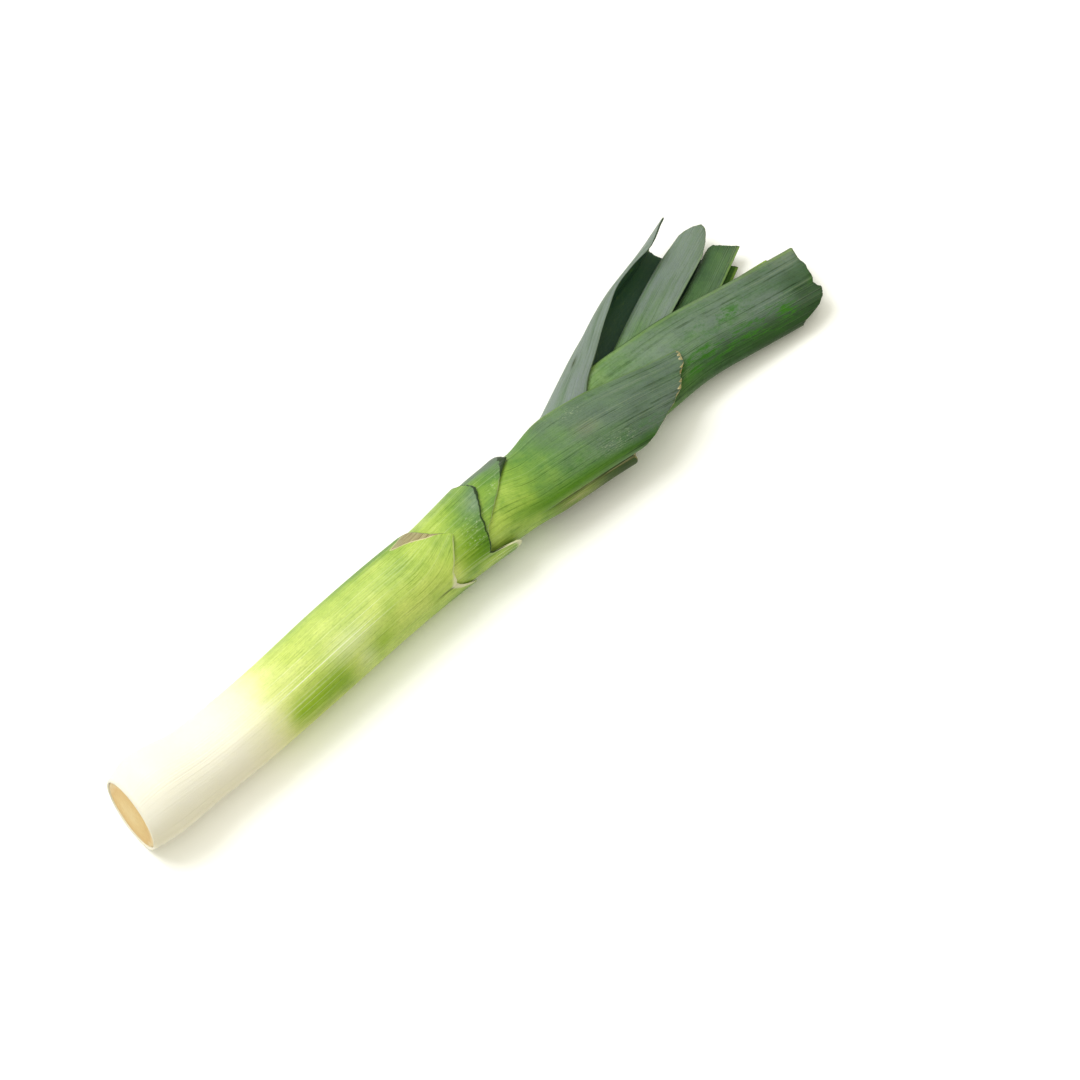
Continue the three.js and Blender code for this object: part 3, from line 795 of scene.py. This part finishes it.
class Paint:
    """A material's node tree, and its colour so far, which each layer covers in part.

    Amounts are sockets or numbers, and colours are sockets or sRGB hex.
    """

    def __init__(self, name):
        self.material = bpy.data.materials.new(name)
        self.material.use_nodes = True
        self.tree = self.material.node_tree
        self.tree.nodes.clear()
        self.colour = None

    def add(self, kind, links=None, **settings):
        """Adds a node, sets its properties, and fills or links its inputs by name or number."""
        node = self.tree.nodes.new(kind)
        for key, value in settings.items():
            setattr(node, key, value)
        for key, value in (links or {}).items():
            if isinstance(value, bpy.types.NodeSocket):
                self.tree.links.new(value, node.inputs[key])
            else:
                node.inputs[key].default_value = linear(value) if isinstance(value, str) else value
        return node

    def math(self, operation, a, b, clamp=False):
        return self.add("ShaderNodeMath", {0: a, 1: b}, operation=operation, use_clamp=clamp).outputs[0]

    def plus(self, a, b):
        return self.math("ADD", a, b)

    def minus(self, a, b):
        return self.math("SUBTRACT", a, b)

    def times(self, product, *factors):
        for factor in factors:
            product = self.math("MULTIPLY", product, factor)
        return product

    def over(self, value, limit, gain):
        """0 up to the limit, then rises with the gain, up to 1."""
        return self.math("MULTIPLY", self.minus(value, limit), gain, clamp=True)

    def under(self, value, limit, gain):
        """0 down to the limit, then rises with the gain, up to 1."""
        return self.math("MULTIPLY", self.minus(limit, value), gain, clamp=True)

    def mark(self, name):
        """A point attribute of the mesh."""
        return self.add("ShaderNodeAttribute", attribute_name=name).outputs["Fac"]

    def scale(self, at, stops):
        """A colour from a row of (position, colour)."""
        made = self.add("ShaderNodeValToRGB", {0: at})
        elements = made.color_ramp.elements
        while len(elements) < len(stops):
            elements.new(0.5)
        for element, (position, colour) in zip(elements, stops):
            element.position = position
            element.color = linear(colour)
        return made.outputs[0]

    def mix(self, amount, a, b, mode="MIX"):
        inputs = {0: amount, 6: a, 7: b}
        return self.add("ShaderNodeMix", inputs, data_type="RGBA", blend_type=mode).outputs[2]

    def layer(self, amount, colour, mode="MIX"):
        """Covers the colour so far with this amount of another."""
        self.colour = self.mix(amount, self.colour, colour, mode)

    def noise(self, vector, per_unit, detail=2.0, roughness=0.5):
        inputs = {"Vector": vector, "Scale": per_unit, "Detail": detail, "Roughness": roughness}
        return self.add("ShaderNodeTexNoise", inputs).outputs["Fac"]

    def in_metres(self):
        """The object's own coordinates, which are in metres."""
        return self.add("ShaderNodeTexCoord").outputs["Object"]

    def finish(self, height, surface):
        """Adds the relief, the surface and the output, and gives the material."""
        relief = self.add("ShaderNodeBump", {"Height": height, "Strength": 0.3, "Distance": 0.0004})
        inputs = {"Base Color": self.colour, "Normal": relief.outputs[0], **surface}
        shader = self.add("ShaderNodeBsdfPrincipled", inputs)
        self.add("ShaderNodeOutputMaterial", {0: shader.outputs[0]})
        return self.material


class LeafPaint(Paint):
    """Leek leaf: a waxy skin with veins along it, from white through yellow-green to dark green.

    The wax gives the blades a grey bloom and a soft sheen, and where it is rubbed off the green is
    deeper. Free margins are a thin light line, and cut ends dry out. Patterns are noise stretched
    along the leaf, in the leaf's own millimetres across and along it.
    """

    def __init__(self, name, vein_mm, light_veins):
        super().__init__(name)
        self.vein_mm = vein_mm
        self.light_veins = light_veins
        self.uv = self.add("ShaderNodeUVMap", uv_map="leaf").outputs[0]
        self.tint = self.mark("tint")
        self.deep = self.mark("deep")
        self.bloom = self.mark("bloom")
        self.greenness = self.over(self.tint, 0.02, 2.6)
        self.streak = self.grain(0.55, 0.03, 3.0, 0.6)
        self.ribs = self.grain(2.6 / vein_mm, 0.008, 1.0)
        self.pins = self.grain(6.5 / vein_mm, 0.06)
        self.mottle = self.grain(1.5, 0.5, 4.0, 0.7)

    def grain(self, across, along, detail=2.0, roughness=0.5):
        """Noise with so many spots a millimetre across and along the leaf."""
        inputs = {"Vector": self.uv, "Scale": (across, along, 1.0)}
        return self.noise(self.add("ShaderNodeMapping", inputs).outputs[0], 1.0, detail, roughness)

    def green(self):
        """The tint wanders along streaks and in clouds. Fresh tissue is brighter."""
        cloud = self.noise(self.in_metres(), 90.0, 5.0, 0.6)
        wander = self.plus(
            self.times(self.minus(self.streak, 0.5), 0.09),
            self.times(self.minus(cloud, 0.5), 0.30),
        )
        self.colour = self.scale(self.plus(self.tint, self.times(wander, self.greenness)), LEEK_GREENS)
        fresh = self.scale(self.tint, FRESH_GREENS)
        self.layer(self.times(self.deep, self.over(self.streak, 0.05, 2.4)), fresh)

    def wax(self):
        """Grey bloom that drifts along the leaf, rubbed off in streaky spots."""
        rub = self.times(self.over(self.grain(0.22, 0.08, 7.0, 0.8), 0.48, 9.0), self.mark("rub"))
        drift = self.grain(0.12, 0.02, 4.0, 0.6)
        grey = self.mix(self.over(drift, 0.35, 3.0), *WAX)
        self.layer(self.times(self.bloom, self.over(drift, 0.05, 2.1)), grey)
        self.layer(self.over(rub, 0.0, 0.85), RUBBED_GREEN)

    def veins(self):
        """Uneven thin lines: some light, most darker and broken along their length. The light ones also
        paint a highlight along the outermost sheath's ridge.
        """
        green = self.greenness
        plain = self.minus(1.0, self.times(self.bloom, 0.65))
        # the lines mark adds light veins, partly a painted highlight along the outermost sheath's ridge
        strength = self.plus(self.times(self.mark("lines"), 1.2), self.light_veins)
        self.layer(self.times(self.over(self.ribs, 0.61, 9.0), strength, green, plain), LIGHT_VEIN_AND_HIGHLIGHT)
        whole = self.over(self.grain(1.4 / self.vein_mm, 0.09, 3.0), 0.38, 5.0)
        dark = self.times(self.under(self.ribs, 0.45, 8.0), whole, self.over(self.tint, 0.2, 1.4), plain)
        self.layer(self.times(dark, 0.95), DARK_VEIN, "MULTIPLY")
        self.layer(self.times(self.under(self.pins, 0.5, 3.5), green, plain, 0.45), FINE_LINE, "MULTIPLY")
        self.layer(self.times(self.under(self.mottle, 0.5, 5.0), green, 0.35), MOTTLE, "MULTIPLY")

    def blemishes(self):
        """A thin milky skin, partly a painted highlight, pale crumbs of skin, bruises and painted crease
        shadow, and the inner face's deep green, darkened further as painted shade inside the folds.
        """
        self.layer(self.times(self.mark("milk"), self.over(self.ribs, 0.2, 2.0)), MILKY_SKIN_AND_HIGHLIGHT)
        self.layer(self.times(self.over(self.mottle, 0.56, 10.0), self.mark("scuff"), 0.75), SKIN_CRUMB)
        self.layer(self.mark("bruise_and_shadow"), BRUISE_AND_SHADOW)
        # the inner face's own deep green, darkened further as painted shade inside the folds
        plain = self.minus(0.9, self.times(self.deep, 0.8))
        self.layer(self.times(self.mark("inside"), self.over(self.tint, 0.6, 4.0), plain), INNER_FACE)

    def along_cut(self, width, sharp):
        """1 within an uneven width of the cut end, and 0 beyond it."""
        return self.over(self.times(width, self.plus(self.streak, 0.5)), self.mark("cut_mm"), sharp)

    def edges(self):
        """A light line on the margins, and dry, bleached or dark tissue along the cut end. The dark band
        also paints shadow where a fold shades the cut.
        """
        self.layer(self.times(self.under(self.mark("rim_mm"), 0.65, 2.6), self.mark("rim")), MARGIN)
        brown = self.mix(self.over(self.pins, 0.35, 3.0), *DRY_TISSUE)
        dry_mm = self.mark("dry_mm")
        self.layer(self.times(self.mark("dry"), self.over(self.pins, 0.3, 2.5)), brown)
        self.layer(self.along_cut(dry_mm, 3.0), brown)
        within = self.minus(dry_mm, self.mark("cut_mm"))
        lip = self.times(self.over(within, -0.2, 3.0), self.under(within, 0.9, 3.0))
        self.layer(self.times(lip, self.over(dry_mm, 1.5, 1.0), 0.8), DRY_LIP)
        self.layer(self.times(self.along_cut(self.mark("pale_mm"), 0.6), 0.75), BLEACHED)
        # dark cut tissue, and painted shadow where a fold shades the cut
        self.layer(self.times(self.along_cut(self.mark("dark_mm"), 3.0), 0.9), DARK_EDGE)
        # painted shade on the underside of the outermost sheath
        self.layer(self.times(self.mark("dull"), 0.45), UNDERSIDE_SHADE, "MULTIPLY")


def leaf_material(name, vein_mm, gloss, light_veins):
    """Leek leaf, with relief over its ribs and fine lines."""
    paint = LeafPaint(name, vein_mm, light_veins)
    paint.green()
    paint.wax()
    paint.veins()
    paint.blemishes()
    paint.edges()
    height = paint.plus(paint.times(paint.ribs, 2.2), paint.times(paint.pins, 0.8))
    return paint.finish(height, {
        "Roughness": gloss, "IOR": 1.42, "Specular IOR Level": 0.3,
        "Subsurface Weight": 0.12, "Subsurface Radius": (0.004, 0.004, 0.0015), "Subsurface Scale": 1.0,
    })


def plate_material():
    """Cut stem tissue: matt, fibrous and tan, browner in clouds and paler at the rim."""
    paint = Paint("cut_stem_tissue")
    grain = paint.noise(paint.in_metres(), 700.0, 4.0)
    cloud = paint.noise(paint.in_metres(), 140.0, 3.0)
    at = paint.plus(paint.mark("share"), paint.times(paint.minus(cloud, 0.5), 0.5))
    paint.colour = paint.scale(at, STEM_TANS)
    paint.layer(paint.times(grain, 0.35), STEM_FIBRE, "MULTIPLY")
    return paint.finish(grain, {"Roughness": 0.7})


# ---- the leek ----
def dress(obj, node, material):
    """The piece takes the place of its CAD node and rides with the leek."""
    obj.data.materials.append(material)
    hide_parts(node)
    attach(obj, "root")


sheath = leaf_material("leek_sheath", vein_mm=1.5, gloss=0.42, light_veins=0.16)
blade = leaf_material("leek_blade", vein_mm=2.3, gloss=0.45, light_veins=0.06)
for layer, leaf in enumerate(LEAVES):
    slot, skin = ("blade", blade) if "throat" in leaf else ("sheath", sheath)
    dress(fine_leaf(leaf, layer), leaf["name"], skin)
dress(heart_leaf(), "heart_leaf", blade)
dress(basal_plate(), "basal_plate", plate_material())


# ---- table, light and camera ----
def pale_table(half_side):
    """A plain white board that glows a little, so that the shadows on it stay soft and warm."""
    mesh = bpy.data.meshes.new("table")
    corners = [(-half_side, -half_side, 0), (half_side, -half_side, 0),
               (half_side, half_side, 0), (-half_side, half_side, 0)]
    mesh.from_pydata(corners, [], [(0, 1, 2, 3)])
    material = bpy.data.materials.new("white_board")
    material.use_nodes = True
    shader = material.node_tree.nodes["Principled BSDF"]
    shader.inputs["Base Color"].default_value = linear(BOARD)
    shader.inputs["Roughness"].default_value = 0.6
    shader.inputs["Emission Color"].default_value = (1.0, 0.98, 0.8, 1.0)
    shader.inputs["Emission Strength"].default_value = 0.07
    mesh.materials.append(material)
    board = bpy.data.objects.new("table", mesh)
    bpy.context.scene.collection.objects.link(board)
    return board


def studio_air(colour, strength):
    world = bpy.data.worlds.new("studio")
    world.use_nodes = True
    background = world.node_tree.nodes["Background"]
    background.inputs[0].default_value = colour
    background.inputs[1].default_value = strength
    bpy.context.scene.world = world


def placed(name, data, place, target):
    """An object that stands at a place and faces a target."""
    obj = bpy.data.objects.new(name, data)
    obj.location = place
    obj.rotation_mode = "QUATERNION"
    obj.rotation_quaternion = (Vector(target) - Vector(place)).to_track_quat("-Z", "Y")
    bpy.context.scene.collection.objects.link(obj)
    return obj


def soft_light(name, place, size, watts, colour):
    """A square lamp that faces the leek's middle."""
    data = bpy.data.lights.new(name, "AREA")
    data.color = colour
    data.size = size
    data.energy = watts
    placed(name, data, place, (0, 0, 0))


floor = pale_table(6)
studio_air((1.0, 0.97, 0.76, 1.0), 0.44)
soft_light("key", (-0.45, 0.8, 1.5), 0.9, 17, (0.97, 0.99, 1.0))
soft_light("overhead", (0.0, 0.1, 1.5), 2.0, 16, (1.0, 0.99, 0.92))
bpy.context.scene.view_settings.view_transform = "Standard"

camera_data = bpy.data.cameras.new("camera")
camera_data.lens = 85
camera_data.sensor_width = 36
camera_data.clip_start = 0.05
camera = placed("camera", camera_data, (-0.387221, -0.460872, 1.012331), (0.008207, -0.045494, 0.019))
bpy.context.scene.camera = camera
